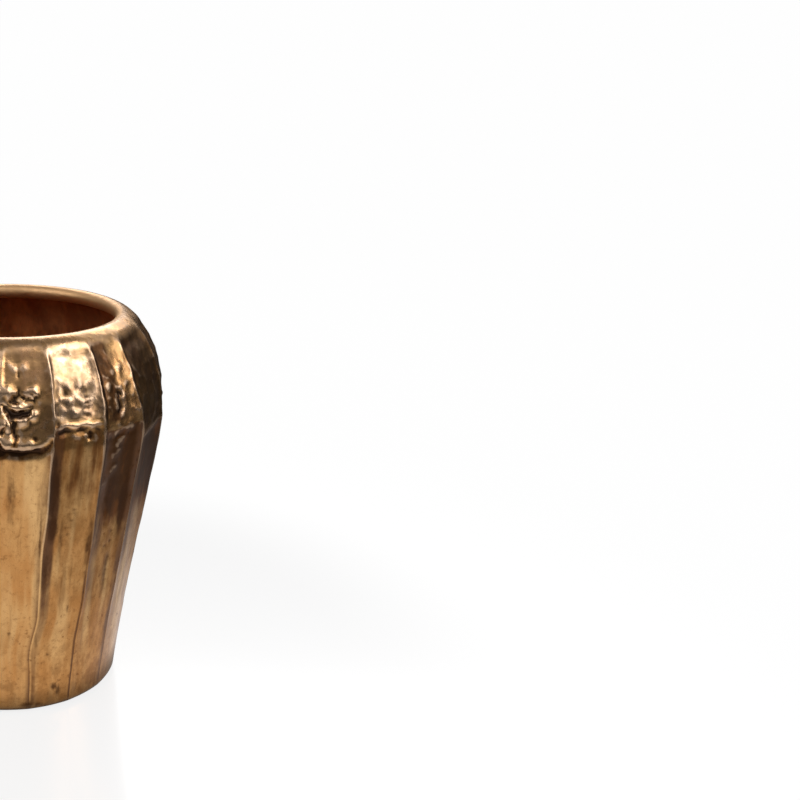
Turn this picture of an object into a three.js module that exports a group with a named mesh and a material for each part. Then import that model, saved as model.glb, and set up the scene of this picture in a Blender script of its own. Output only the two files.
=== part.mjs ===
// A hammered brass flower pot, made the way a coppersmith makes one.
// One sheet forms the fluted wall: its top edge is rolled inwards over a wire, and its bottom edge
// is turned in as a flat foot. A pressed base pan is soldered in on top of the foot, and felt pads
// under the pan carry the pot. Millimetres, +Z up, origin on the floor under the pot's middle.
import * as THREE from "three";

// Overall shape, measured over the ridges between the flutes
const OVERALL_HEIGHT = 320;
const FOOT_RADIUS = 97;
const BELLY_RADIUS = 134;
const BELLY_HEIGHT = 240;
const MOUTH_RADIUS = 96.5; // to the middle of the rolled edge
const TAPER_LEAN = 0.113; // how far the wall leans out where it leaves the foot, per mm of height
const TAPER_STIFFNESS = 76; // how far that lean is kept before the wall starts to swell
const LOWER_FULLNESS = 13; // how far the wall stays upright below its widest place
const UPPER_FULLNESS = 50; // and above it
const SHOULDER_REACH = 14; // how far the shoulder runs on straight before it meets the roll

// Sheet, wire and clearances
const SHEET = 1.2;
const WIRE_DIAMETER = 9;
const WIRE_CLEARANCE = 0.6;
const SEAT_GAP = 0.3; // solder or glue line between pieces that seat on each other
const ROLL_START_DEGREES = 76; // where the shoulder runs into the roll, from the outside
const ROLL_END_DEGREES = 365; // where the sheet's free edge ends, under the shoulder

// Foot
const FOOT_CORNER_RADIUS = 5;
const FOOT_TURN_IN = 12;

// Flutes
const FLUTES = 18;
const FIRST_RIDGE_DEGREES = 15; // from the front, towards +X
const FOOT_FLUTE_DEPTH = 0.8;
const LEDGE_FLUTE_DEPTH = 5.5;
const DOME_FLUTE_DEPTH = 2;
const LOWER_FLUTE_POWER = 2; // 2 is a round scoop, and higher is flatter with steeper sides
const DOME_FLUTE_POWER = 5;
const DOME_FADE = 13; // height over which the flutes run out below the roll

// Ledge across each flute, where the dome's panel ends and the scooped flute begins
const LEDGE_ABOVE_BELLY = 7; // from the widest place up to the middle of the ledges
const LEDGE_RISE = 3;
const LEDGE_WANDER = 11; // hammered by hand, so no two ledges lie at one height
const LEDGE_WANDER_START = 1.2; // the wander's wave at the first flute, in radians
const LEDGE_WANDER_WAVES = 5; // and how many waves there are round the pot
const LEDGE_WANDER_REACH = 40; // height over which the wander dies out above and below

// Base pan and pads
const PAN_SHEET = 1.5;
const PAN_CORNER_EASE = 1.5; // how much rounder its corner is than the foot's inside corner
const PAN_SKIRT_HEIGHT = 9;
const PAN_DISH_HEIGHT = 2.5;
const PAN_DISH_SLOPE = 5;
const PAD_COUNT = 4;
const PAD_DIAMETER = 22;
const PAD_THICKNESS = 2;
const PAD_MARGIN = 11; // from a pad to the foot's inner edge, and to the dish

// Fineness of the faceted surfaces
const COLUMNS_IN_FLUTE = [0, 0.12, 0.35, 0.65, 0.88]; // share of the way from ridge to ridge
const TAPER_ROWS = 7;
const TAPER_ROW_CROWDING = 1.5; // above 1 they lie closer together towards the ledges
const DOME_ROWS = 6;
const ROLL_ROWS = 8; // from its crest to the free edge
const CORNER_ROWS = 3;
const PAN_COLUMNS = 60;
const WIRE_COLUMNS = 60;
const WIRE_SIDES = 8;
const PAD_SIDES = 28;
const HALVINGS = 40; // when a height is looked up on a curve

// Worked out from the sizes above
const footUnder = PAD_THICKNESS - SHEET; // the foot's underside: pads stand proud of it
const panSeat = footUnder + SHEET + SEAT_GAP;
const rollRadius = WIRE_DIAMETER / 2 + WIRE_CLEARANCE + SHEET;
const rollHeight = OVERALL_HEIGHT - rollRadius;
const cornerHeight = footUnder + FOOT_CORNER_RADIUS;
const ledgeHeight = BELLY_HEIGHT + LEDGE_ABOVE_BELLY;
const padRingRadius = FOOT_RADIUS - FOOT_TURN_IN - PAD_MARGIN - PAD_DIAMETER / 2;
const panRadius = FOOT_RADIUS - FOOT_FLUTE_DEPTH - SHEET - SEAT_GAP;
const dishRadius = padRingRadius - PAD_DIAMETER / 2 - PAD_MARGIN - PAN_DISH_SLOPE;

const brass = new THREE.MeshStandardMaterial({ color: 0xb5813f, roughness: 0.28, metalness: 1 });
const steel = new THREE.MeshStandardMaterial({ color: 0x6f6a64, roughness: 0.5, metalness: 1 });
const felt = new THREE.MeshStandardMaterial({ color: 0x3a332d, roughness: 1, metalness: 0 });

const smooth = (z, from, to) => THREE.MathUtils.smoothstep(z, from, to);

// The wall's outside face as two curves in (radius, height): the taper up to the widest place,
// and the shoulder from there to the roll, which it meets along the roll's own tangent.
const rollStart = THREE.MathUtils.degToRad(ROLL_START_DEGREES);
const rollEnd = THREE.MathUtils.degToRad(ROLL_END_DEGREES);
const taper = new THREE.CubicBezierCurve(
  new THREE.Vector2(FOOT_RADIUS, cornerHeight),
  new THREE.Vector2(FOOT_RADIUS + TAPER_LEAN * TAPER_STIFFNESS, cornerHeight + TAPER_STIFFNESS),
  new THREE.Vector2(BELLY_RADIUS, BELLY_HEIGHT - LOWER_FULLNESS),
  new THREE.Vector2(BELLY_RADIUS, BELLY_HEIGHT),
);
const shoulderTop = new THREE.Vector2(
  MOUTH_RADIUS + rollRadius * Math.cos(rollStart),
  rollHeight + rollRadius * Math.sin(rollStart),
);
const shoulder = new THREE.CubicBezierCurve(
  new THREE.Vector2(BELLY_RADIUS, BELLY_HEIGHT),
  new THREE.Vector2(BELLY_RADIUS, BELLY_HEIGHT + UPPER_FULLNESS),
  new THREE.Vector2(
    shoulderTop.x + SHOULDER_REACH * Math.sin(rollStart),
    shoulderTop.y - SHOULDER_REACH * Math.cos(rollStart),
  ),
  shoulderTop,
);

// A place on a line that runs up the outside: the point, and the direction that faces out.
function placeOn(curve, t) {
  const along = curve.getTangent(t);
  return { point: curve.getPoint(t), out: new THREE.Vector2(along.y, -along.x) };
}

// The place on the wall at a height, found by halving, as both curves only climb.
function wallAt(height) {
  const curve = height < BELLY_HEIGHT ? taper : shoulder;
  let low = 0;
  let high = 1;
  for (let i = 0; i < HALVINGS; i++) {
    const middle = (low + high) / 2;
    if (curve.getPoint(middle).y < height) low = middle;
    else high = middle;
  }
  return placeOn(curve, low);
}

function arcPlaces(centreR, centreZ, radius, from, to, rows) {
  return Array.from({ length: rows + 1 }, (_, i) => {
    const angle = from + ((to - from) * i) / rows;
    const out = new THREE.Vector2(Math.cos(angle), Math.sin(angle));
    return { point: new THREE.Vector2(centreR, centreZ).addScaledVector(out, radius), out };
  });
}

// A closed section of a sheet: the outside places in order, then the inside ones back again.
function sheetSection(places, thickness) {
  const inside = places.map((p) => ({
    ...p,
    point: p.point.clone().addScaledVector(p.out, -thickness),
  }));
  return [...places, ...inside.reverse(), places[0]];
}

// How deep a flute is pressed at a height, and how square its section is there.
function fluteAt(height) {
  if (height < ledgeHeight) {
    const share = smooth(height, cornerHeight, ledgeHeight);
    const depth = THREE.MathUtils.lerp(FOOT_FLUTE_DEPTH, LEDGE_FLUTE_DEPTH, share);
    return { depth, power: LOWER_FLUTE_POWER };
  }
  const fade = 1 - smooth(height, shoulderTop.y - DOME_FADE, shoulderTop.y);
  return { depth: DOME_FLUTE_DEPTH * fade, power: DOME_FLUTE_POWER };
}

function ledgeWander(flute) {
  const turn = (2 * Math.PI * LEDGE_WANDER_WAVES * flute) / FLUTES;
  return LEDGE_WANDER * Math.sin(LEDGE_WANDER_START + turn);
}

// The wall's places from the foot's inner edge up to the rolled edge's free end.
function wallPlaces() {
  const down = new THREE.Vector2(0, -1);
  const foot = [
    { point: new THREE.Vector2(FOOT_RADIUS - FOOT_TURN_IN, footUnder), out: down, depth: 0 },
    ...arcPlaces(
      FOOT_RADIUS - FOOT_CORNER_RADIUS,
      cornerHeight,
      FOOT_CORNER_RADIUS,
      -Math.PI / 2,
      -Math.atan(TAPER_LEAN),
      CORNER_ROWS,
    ).map((p) => ({ ...p, depth: FOOT_FLUTE_DEPTH })),
  ];
  const ledgeFoot = ledgeHeight - LEDGE_RISE;
  const heights = [];
  for (let i = 1; i <= TAPER_ROWS; i++) {
    const share = 1 - (1 - i / TAPER_ROWS) ** TAPER_ROW_CROWDING;
    heights.push(THREE.MathUtils.lerp(cornerHeight, ledgeFoot, share));
  }
  for (let i = 0; i < DOME_ROWS; i++) {
    const share = Math.sin((i / DOME_ROWS) * (Math.PI / 2));
    heights.push(THREE.MathUtils.lerp(ledgeHeight, shoulderTop.y, share));
  }
  const wall = heights.map((height) => ({
    ...wallAt(height),
    ...fluteAt(height),
    wander: 1 - smooth(Math.abs(height - ledgeHeight), LEDGE_RISE, LEDGE_WANDER_REACH),
  }));
  const crest = Math.PI / 2;
  const roll = [
    ...arcPlaces(MOUTH_RADIUS, rollHeight, rollRadius, rollStart, crest, 1).slice(0, -1),
    ...arcPlaces(MOUTH_RADIUS, rollHeight, rollRadius, crest, rollEnd, ROLL_ROWS),
  ];
  return [...foot, ...wall, ...roll];
}

// A lathe of the sheet's section, whose columns are gathered to the ridges and pressed in between.
function flutedWall() {
  const section = sheetSection(wallPlaces(), SHEET);
  const columns = FLUTES * COLUMNS_IN_FLUTE.length;
  const geometry = new THREE.LatheGeometry(section.map((p) => p.point), columns);
  const position = geometry.getAttribute("position");
  for (let column = 0; column <= columns; column++) {
    const flute = Math.floor(column / COLUMNS_IN_FLUTE.length) % FLUTES;
    const share = COLUMNS_IN_FLUTE[column % COLUMNS_IN_FLUTE.length];
    const angle =
      THREE.MathUtils.degToRad(FIRST_RIDGE_DEGREES) + ((flute + share) * 2 * Math.PI) / FLUTES;
    const fromMiddle = Math.abs(2 * share - 1);
    section.forEach(({ point, depth = 0, power = LOWER_FLUTE_POWER, wander = 0 }, row) => {
      const radius = point.x - depth * (1 - fromMiddle ** power);
      const rise = wander * ledgeWander(flute) * (1 - fromMiddle ** DOME_FLUTE_POWER);
      position.setXYZ(
        column * section.length + row,
        radius * Math.sin(angle),
        -radius * Math.cos(angle),
        point.y + rise,
      );
    });
  }
  return geometry;
}

// A pressed pan: a raised dish in the middle, a flat ring that seats on the foot, and a skirt.
function basePan() {
  const down = new THREE.Vector2(0, -1);
  const corner = FOOT_CORNER_RADIUS - SHEET + PAN_CORNER_EASE;
  const dishUnder = panSeat + PAN_DISH_HEIGHT;
  const places = [
    { point: new THREE.Vector2(0, dishUnder), out: down },
    { point: new THREE.Vector2(dishRadius, dishUnder), out: down },
    { point: new THREE.Vector2(dishRadius + PAN_DISH_SLOPE, panSeat), out: down },
    ...arcPlaces(panRadius - corner, panSeat + corner, corner, -Math.PI / 2, 0, CORNER_ROWS),
    {
      point: new THREE.Vector2(panRadius, panSeat + PAN_SKIRT_HEIGHT),
      out: new THREE.Vector2(1, 0),
    },
  ];
  const section = sheetSection(places, PAN_SHEET).slice(0, -1);
  const geometry = new THREE.LatheGeometry(section.map((p) => p.point), PAN_COLUMNS);
  return geometry.rotateX(Math.PI / 2);
}

function named(name, geometry, material) {
  const mesh = new THREE.Mesh(geometry, material);
  mesh.name = name;
  return mesh;
}

const pot = new THREE.Group();
pot.add(named("fluted_wall", flutedWall(), brass));

const wire = new THREE.TorusGeometry(MOUTH_RADIUS, WIRE_DIAMETER / 2, WIRE_SIDES, WIRE_COLUMNS);
const rimWire = named("rim_wire", wire, steel);
rimWire.position.z = rollHeight;
pot.add(rimWire);

pot.add(named("base_pan", basePan(), brass));

for (let i = 0; i < PAD_COUNT; i++) {
  const disc = new THREE.CylinderGeometry(
    PAD_DIAMETER / 2,
    PAD_DIAMETER / 2,
    PAD_THICKNESS,
    PAD_SIDES,
  );
  const pad = named(`felt_pad_${i + 1}`, disc, felt);
  const angle = ((i + 0.5) * 2 * Math.PI) / PAD_COUNT;
  pad.rotation.x = Math.PI / 2;
  pad.position.set(
    padRingRadius * Math.sin(angle),
    -padRingRadius * Math.cos(angle),
    PAD_THICKNESS / 2,
  );
  pot.add(pad);
}

export default pot;
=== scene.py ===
import math
from functools import reduce
from types import SimpleNamespace

import bmesh
import bpy
import numpy as np
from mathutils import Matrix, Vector


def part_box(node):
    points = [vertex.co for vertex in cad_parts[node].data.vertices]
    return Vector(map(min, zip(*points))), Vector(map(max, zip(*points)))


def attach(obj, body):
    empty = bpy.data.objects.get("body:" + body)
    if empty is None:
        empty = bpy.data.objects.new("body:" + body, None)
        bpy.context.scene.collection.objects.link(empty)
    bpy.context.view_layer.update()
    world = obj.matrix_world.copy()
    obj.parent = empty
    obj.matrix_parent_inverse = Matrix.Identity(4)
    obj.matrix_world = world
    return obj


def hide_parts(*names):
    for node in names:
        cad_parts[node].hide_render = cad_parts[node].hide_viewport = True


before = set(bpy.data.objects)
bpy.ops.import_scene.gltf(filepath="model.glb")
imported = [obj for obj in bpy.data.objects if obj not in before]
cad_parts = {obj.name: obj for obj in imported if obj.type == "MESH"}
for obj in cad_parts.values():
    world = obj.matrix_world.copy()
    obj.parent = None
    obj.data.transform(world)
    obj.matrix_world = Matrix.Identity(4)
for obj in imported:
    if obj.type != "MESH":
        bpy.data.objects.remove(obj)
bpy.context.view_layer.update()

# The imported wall's box
wall_low, wall_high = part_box("fluted_wall")

# The sheet's section, over the ridges
SHEET = 0.0012
POT_HEIGHT = wall_high.z
FOOT_UNDER = wall_low.z
FOOT_RADIUS = 0.0968
FOOT_CORNER = 0.005
FOOT_TURN_IN = 0.012
BELLY_RADIUS = 0.1332
BELLY_HEIGHT = 0.24
MOUTH_RADIUS = 0.0965
ROLL_RADIUS = 0.0063
ROLL_START = math.radians(76)
ROLL_END = math.radians(365)
TAPER_LEAN = 0.113
TAPER_STIFFNESS = 0.076
LOWER_FULLNESS = 0.013
UPPER_FULLNESS = 0.05
SHOULDER_REACH = 0.014
ROLL_HEIGHT = POT_HEIGHT - ROLL_RADIUS
CORNER_HEIGHT = FOOT_UNDER + FOOT_CORNER

# Flutes
FLUTES = 18
FLUTE_DEGREES = 360 / FLUTES
FIRST_RIDGE_DEGREES = 15
FOOT_FLUTE_DEPTH = 0.0002
LEDGE_FLUTE_DEPTH = 0.0056
STEEP_SIDE_POWER = 4.5
GENTLE_SIDE_POWER = 2.2
FOOT_SIDE_POWER = 3.4
PANEL_STEP = 0.0015
PANEL_FLATNESS = 0.0011
RIB_POWER = 5
RIB_GROOVE_DEPTH = 0.00035
RIB_GROOVE_AT = 0.83
RIB_GROOVE_WIDTH = 0.07
PANEL_TOP = 0.3172
PANEL_FADE = 0.011
PANEL_ARCH = 0.004
LEDGE_WANDER = 0.011
LEDGE_WANDER_START = 1.2
LEDGE_WANDER_WAVES = 5
LEDGE_HEIGHT = 0.247
LEDGE_WOBBLE = 0.0005
GROOVE_BELOW_LEDGE = 0.0035
GROOVE_WIDTH = 0.004
BEHIND_LEDGE_DEPTH = 0.0014
BEHIND_LEDGE_DROP = 0.003
BEHIND_LEDGE_REACH = 0.011

# Columns of the wall's mesh: steps and degrees, closer together along the ridges
OUTER_COLUMNS = [(5, 2.4), (17, 15.2), (5, 2.4)]
INNER_COLUMNS = [(12, 20.0)]

# Rows of the wall's mesh: how far apart, and where closer, as (how much, from, fully by, until, gone by)
OUTER_ROWS = 0.003
OUTER_CLOSER = [
    (0.0014, -2, -1, 0.008, 0.016),
    (0.0016, 0.222, 0.235, 0.285, 0.3),
    (0.0013, 0.304, 0.31, 1, 2),
]
INNER_ROWS = 0.011
INNER_CLOSER = [
    (0.0074, 0.19, 0.23, 0.285, 0.298),
    (0.005, 0.285, 0.298, 1, 2),
    (0.0035, 0.305, 0.312, 1, 2),
]

# The open edges of the two skins: between which heights they lie
FOOT_EDGES = (-1, 0.02)
RIM_EDGES = (0.2, 1)
WELL_BELOW_ROLL = 0.2

# Work of the hammer
WAVE_SIZE = 0.045
WAVE_DEPTH = 0.0014
HAMMER_MARK_SIZE = 0.0105
DOME_MARK_DEPTH = 0.0012
WALL_MARK_DEPTH = 0.0002
SHARPEST_BEND = 45
LEAN_REACH = 0.045


def make_active(obj):
    bpy.ops.object.select_all(action="DESELECT")
    obj.select_set(True)
    bpy.context.view_layer.objects.active = obj


def edit(obj, select="SELECT", by="VERT"):
    make_active(obj)
    bpy.ops.object.mode_set(mode="EDIT")
    bpy.ops.mesh.select_mode(type=by)
    bpy.ops.mesh.select_all(action=select)


def leave_edit():
    bpy.ops.object.mode_set(mode="OBJECT")


def rows_of(items, name, width=3, kind=float):
    """One property of many items, as an array with a row for each."""
    values = np.empty(len(items) * width, dtype=kind)
    items.foreach_get(name, values)
    return values.reshape(-1, width)


def places(obj):
    return rows_of(obj.data.vertices, "co")


def smooth(value, start, end):
    t = np.clip((value - start) / (end - start), 0, 1)
    return t * t * (3 - 2 * t)


# The wall's section, as the line of its outside face from the foot's inner edge to the rolled edge
def bezier(a, b, c, d, count=160):
    t = np.linspace(0, 1, count)[:, None]
    a, b, c, d = (np.array(p) for p in (a, b, c, d))
    return (1 - t) ** 3 * a + 3 * (1 - t) ** 2 * t * b + 3 * (1 - t) * t**2 * c + t**3 * d


def arc(centre, radius, start, end, count=60):
    t = np.linspace(start, end, count)
    return np.stack([centre[0] + radius * np.cos(t), centre[1] + radius * np.sin(t)], 1)


SHOULDER_TOP = arc((MOUTH_RADIUS, ROLL_HEIGHT), ROLL_RADIUS, ROLL_START, ROLL_START, 1)[0]


def wall_line():
    """A dense line of (radius, height) along the outside of the sheet."""
    foot_inner = np.array([[FOOT_RADIUS - FOOT_TURN_IN, FOOT_UNDER]])
    corner_middle = (FOOT_RADIUS - FOOT_CORNER, CORNER_HEIGHT)
    corner = arc(corner_middle, FOOT_CORNER, -math.pi / 2, -math.atan(TAPER_LEAN))
    taper = bezier(
        (FOOT_RADIUS, CORNER_HEIGHT),
        (FOOT_RADIUS + TAPER_LEAN * TAPER_STIFFNESS, CORNER_HEIGHT + TAPER_STIFFNESS),
        (BELLY_RADIUS, BELLY_HEIGHT - LOWER_FULLNESS),
        (BELLY_RADIUS, BELLY_HEIGHT),
    )
    shoulder = bezier(
        (BELLY_RADIUS, BELLY_HEIGHT),
        (BELLY_RADIUS, BELLY_HEIGHT + UPPER_FULLNESS),
        (
            SHOULDER_TOP[0] + SHOULDER_REACH * math.sin(ROLL_START),
            SHOULDER_TOP[1] - SHOULDER_REACH * math.cos(ROLL_START),
        ),
        SHOULDER_TOP,
    )
    roll = arc((MOUTH_RADIUS, ROLL_HEIGHT), ROLL_RADIUS, ROLL_START, ROLL_END)
    return np.concatenate([foot_inner, corner, taper[1:], shoulder[1:], roll[1:]])


def spaced_along(line, rows, closer):
    """Points along a line, a given spacing apart, which is less at some heights."""
    step = np.hypot(*np.diff(line, axis=0).T)
    run = np.concatenate([[0], np.cumsum(step)])
    height = (line[1:, 1] + line[:-1, 1]) / 2
    spacing = rows
    for less, start, full, until, gone in closer:
        spacing = spacing - less * (smooth(height, start, full) * (1 - smooth(height, until, gone)))
    share = np.concatenate([[0], np.cumsum(step / spacing)])
    count = round(share[-1])
    where = np.interp(np.linspace(0, share[-1], count + 1), share, run)
    return np.stack([np.interp(where, run, line[:, i]) for i in (0, 1)], 1)


def set_in(line, depth):
    """The line moved by a depth towards the sheet's inside."""
    along = np.gradient(line, axis=0)
    along /= np.hypot(*along.T)[:, None]
    out = np.stack([along[:, 1], -along[:, 0]], 1)
    return line - out * depth


def draw_section(name, line, degrees):
    """Draws a line of the section by extruding one point, in the plane of a ridge."""
    turn = math.radians(degrees - 90)
    bpy.ops.mesh.primitive_plane_add(size=0.01)
    section = bpy.context.object
    section.name = name
    edit(section)
    bpy.ops.mesh.merge(type="CENTER")
    points = [Vector((r * math.cos(turn), r * math.sin(turn), z)) for r, z in line]
    bpy.ops.transform.translate(value=points[0])
    for before, after in zip(points, points[1:]):
        bpy.ops.mesh.extrude_vertices_move(TRANSFORM_OT_translate={"value": after - before})
    leave_edit()
    return section


def turn_round(section, columns):
    """Spins the section through one flute and copies that strip round the pot."""
    edit(section)
    for steps, degrees in columns:
        turn = math.radians(degrees)
        bpy.ops.mesh.spin(steps=steps, angle=turn, center=(0, 0, 0), axis=(0, 0, 1))
    bpy.ops.mesh.select_all(action="SELECT")
    strip = math.radians(FLUTE_DEGREES)
    for _ in range(FLUTES - 1):
        bpy.ops.mesh.duplicate()
        bpy.ops.transform.rotate(value=strip, orient_axis="Z", center_override=(0, 0, 0))
    bpy.ops.mesh.select_all(action="SELECT")
    bpy.ops.mesh.remove_doubles(threshold=0.00001)
    bpy.ops.mesh.normals_make_consistent(inside=False)
    leave_edit()


def radius_of(co):
    return np.hypot(co[:, 0], co[:, 1])


def degrees_of(co):
    """Each vertex's direction: 0 towards the viewer and 90 to the viewer's right."""
    return np.degrees(np.arctan2(co[:, 0], -co[:, 1]))


def round_from(degrees, radius, at):
    """How far round the pot each vertex lies from a direction, in metres."""
    return np.radians((degrees - at + 180) % 360 - 180) * radius


def turn_of(co):
    """Each vertex's way round the pot, counted in flutes from the first ridge."""
    return ((degrees_of(co) - FIRST_RIDGE_DEGREES) / FLUTE_DEGREES) % FLUTES


def flute_of(co):
    """Each vertex's flute, and its share of the way across that flute."""
    turn = turn_of(co)
    flute = np.floor(turn + 1e-6)
    return flute.astype(int) % FLUTES, np.clip(turn - flute, 0, 1)


def usual_ledge(flute):
    turn = 2 * math.pi * LEDGE_WANDER_WAVES * flute / FLUTES
    return LEDGE_HEIGHT + LEDGE_WANDER * math.sin(LEDGE_WANDER_START + turn)


def with_seen(values, seen):
    """The values with those of flutes 17, 0, 1 and on exchanged for what the photograph shows."""
    for i, value in enumerate(seen):
        values[i - 1] = value
    return np.array(values)


def by_flute(seen, middle, swing=0, pace=0):
    """A value for each flute, which swings about a middle where the photograph doesn't show it."""
    return with_seen([middle + swing * math.sin(pace * i) for i in range(FLUTES)], seen)


# Flute 17 is the one that faces the viewer, and 0, 1 and 2 follow it to the right
LEDGE_HEIGHTS = with_seen([usual_ledge(i) for i in range(FLUTES)], [0.2425, 0.2565, 0.2475, 0.236])
LEDGE_TILTS = by_flute([-0.001, -0.0012, 0.001, 0.002], 0, 0.003, 2.7)
LEDGE_HOOKS = by_flute([0.011, -0.002, 0, 0], 0, 0.005, 1.3)
LEDGE_RISES = by_flute([0.003, 0.0035, 0.008, 0.008], 0.0055, 0.002, 1.9)
LEDGE_CHINS = by_flute([0.0019, 0.0015, 0.0002, 0.0004], 0.001, 0.0008, 3.3)
CHIN_WIDTHS = by_flute([0.0045, 0.0021], 0.003)
LEDGE_GROOVES = by_flute([0.0022, 0.0004, 0.0003, 0], 0.0006, 0.0006, 3.3)
FLUTE_FULLNESS = by_flute([0.9, 0.85, 1, 0.9], 0.9, 0.12, 4.1)


def press_depth(co):
    """How far the sheet is pushed in at each vertex to make the flutes and their ledges."""
    flute, share = flute_of(co)
    across = 2 * share - 1
    height = co[:, 2]
    middle = np.abs(across)
    ledge = LEDGE_HEIGHTS[flute] + LEDGE_TILTS[flute] * across + LEDGE_HOOKS[flute] * middle**4
    ledge = ledge + LEDGE_WOBBLE * (np.sin(9 * across + 2.1 * flute) + 0.6 * np.sin(21 * across + flute))
    above = smooth(height, ledge - LEDGE_RISES[flute], ledge)
    deepening = smooth(height, CORNER_HEIGHT, LEDGE_HEIGHT)
    scoop = FOOT_FLUTE_DEPTH + (LEDGE_FLUTE_DEPTH - FOOT_FLUTE_DEPTH) * deepening
    steep = FOOT_SIDE_POWER + (STEEP_SIDE_POWER - FOOT_SIDE_POWER) * smooth(height, 0.04, 0.14)
    side_power = np.where(across < 0, steep, GENTLE_SIDE_POWER)
    groove_at = ledge - GROOVE_BELOW_LEDGE
    groove = LEDGE_GROOVES[flute] * np.exp(-(((height - groove_at) / GROOVE_WIDTH) ** 2))
    lower = scoop * FLUTE_FULLNESS[flute] * (1 - middle**side_power) + groove * (1 - middle**4)
    panel_top = PANEL_TOP - PANEL_ARCH * middle**6
    fade = 1 - smooth(height, panel_top - PANEL_FADE, panel_top)
    beside_rib = np.exp(-(((across + RIB_GROOVE_AT) / RIB_GROOVE_WIDTH) ** 2))
    flat = PANEL_STEP * (1 - middle**RIB_POWER) + PANEL_FLATNESS * (1 - middle**2)
    upper = (flat + RIB_GROOVE_DEPTH * beside_rib) * fade
    width = CHIN_WIDTHS[flute]
    chin = LEDGE_CHINS[flute] * np.exp(-(((height - ledge - 0.8 * width) / width) ** 2))
    depth = lower + (upper - lower) * above - chin * (1 - middle**3)
    radius = radius_of(co)
    in_roll = (np.hypot(radius - MOUTH_RADIUS, height - ROLL_HEIGHT) < ROLL_RADIUS * 1.02) & (
        radius < MOUTH_RADIUS + ROLL_RADIUS * 0.99
    )
    under_foot = radius < FOOT_RADIUS - FOOT_TURN_IN + 0.0001
    depth[in_roll | under_foot] = 0
    return depth


def weigh(obj, name, weights):
    """Makes a vertex group from an array of weights."""
    group = obj.vertex_groups.new(name=name)
    for i, weight in enumerate(weights.tolist()):
        if weight > 0.0005:
            group.add([i], weight, "REPLACE")


def displace(obj, name, strength, group, texture=None, middle=0.0):
    """Pushes a group of vertices along their normals, all alike or by a texture."""
    make_active(obj)
    push = obj.modifiers.new(name, "DISPLACE")
    push.strength = strength
    push.mid_level = middle
    push.direction = "NORMAL"
    push.vertex_group = group
    if texture:
        push.texture = texture
        push.texture_coords = "LOCAL"
    bpy.ops.object.modifier_apply(modifier=name)


# Shallow round dents that meet in low ridges
HAMMER = bpy.data.textures.new("hammer_dents", "VORONOI")
HAMMER.distance_metric = "DISTANCE_SQUARED"
HAMMER.noise_scale = HAMMER_MARK_SIZE

# Slow waves, as in any wall that is raised by hand
SWELL = bpy.data.textures.new("slow_waves", "CLOUDS")
SWELL.noise_scale = WAVE_SIZE
SWELL.noise_depth = 1


def lay_out(skin, line):
    """Keeps each corner's place on the unrolled sheet as a UV map: flutes round, metres along."""
    co = places(skin)
    radius = radius_of(co)
    run_at = np.concatenate([[0], np.cumsum(np.hypot(*np.diff(line, axis=0).T))])
    run = np.empty(len(co))
    at_once = 8192
    for start in range(0, len(co), at_once):
        part = slice(start, start + at_once)
        away = (radius[part, None] - line[:, 0]) ** 2 + (co[part, 2, None] - line[:, 1]) ** 2
        run[part] = run_at[away.argmin(1)]
    turn = turn_of(co)
    mesh = skin.data
    corners = rows_of(mesh.loops, "vertex_index", 1, int).reshape(-1, 4)
    round_pot = turn[corners]
    wrapped = (round_pot.max(1) - round_pot.min(1) > FLUTES / 2)[:, None]
    round_pot = np.where(wrapped & (round_pot < FLUTES / 2), round_pot + FLUTES, round_pot)
    flat = np.stack([round_pot.ravel(), run[corners].ravel()], 1)
    mesh.uv_layers.new(name="sheet").data.foreach_set("uv", flat.ravel())


def keep(skin, name, values):
    skin.data.attributes.new(name, "FLOAT", "POINT").data.foreach_set("value", values)


# How far down brown oxide and painted shade reach below each ledge, and how strong they are there; the
# painted shade is strongest on the flutes turned to the right
OXIDE_AND_SHADE_DOWN_TO = by_flute([0.21, 0.196, 0.17, 0.172, 0.165], 0.18, 0.02, 2.2)
LEDGE_OXIDE_AND_SHADE = by_flute([0.3, 0.8, 1.5, 1.6, 1.3], 0.85, 0.35, 1.1)

# The band of painted shade and painted reflection along the right of each ridge: its strength, how grey
# it is and how wide
RIDGE_SHADE = by_flute([0.45, 1.35, 0.95, 1, 0.9], 0.75, 0.2, 2.9)
RIDGE_SHADE_GREY = by_flute([0.3, 0.2, 0.8, 0.95, 0.9], 0.55, 0.4, 1.9)
RIDGE_SHADE_WIDTH = by_flute([0.2, 0.25, 0.33, 0.42, 0.5], 0.22, 0.06, 2.3)

# How strong the painted shade is along the left of the next ridge
LEFT_FLANK_SHADE = by_flute([0.72, 0.5, 0.95, 0.5], 0.6, 0.3, 3.7)

# The painted shade line along the left of the next ridge, near the foot
SEAM_SHADE = by_flute([0.3, 1.1, 0.7, 0.7], 0.5, 0.3, 2.6)

# How far across each panel the painted shade reaches from its left, and how strong it is
PANEL_SHADE_REACH = by_flute([0.05, 0.08, 0.62, 1.3], 0.5, 0.5, 1.3)
PANEL_SHADE = by_flute([0.3, 0.6, 0.9, 0.62], 0.55, 0.35, 2.1)

# How pale each panel is rubbed, which also paints a highlight where a panel mirrors the right softbox,
# and how red-brown the brass is below the ledges
PANEL_WEAR_AND_SHEEN = by_flute([0.3, 0.95, 0.15, 0.1], 0.35, 0.3, 1.7)
RUDDY = by_flute([0.05, 0.45, 0.75, 0.8], 0.4, 0.3, 2.3)


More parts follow.
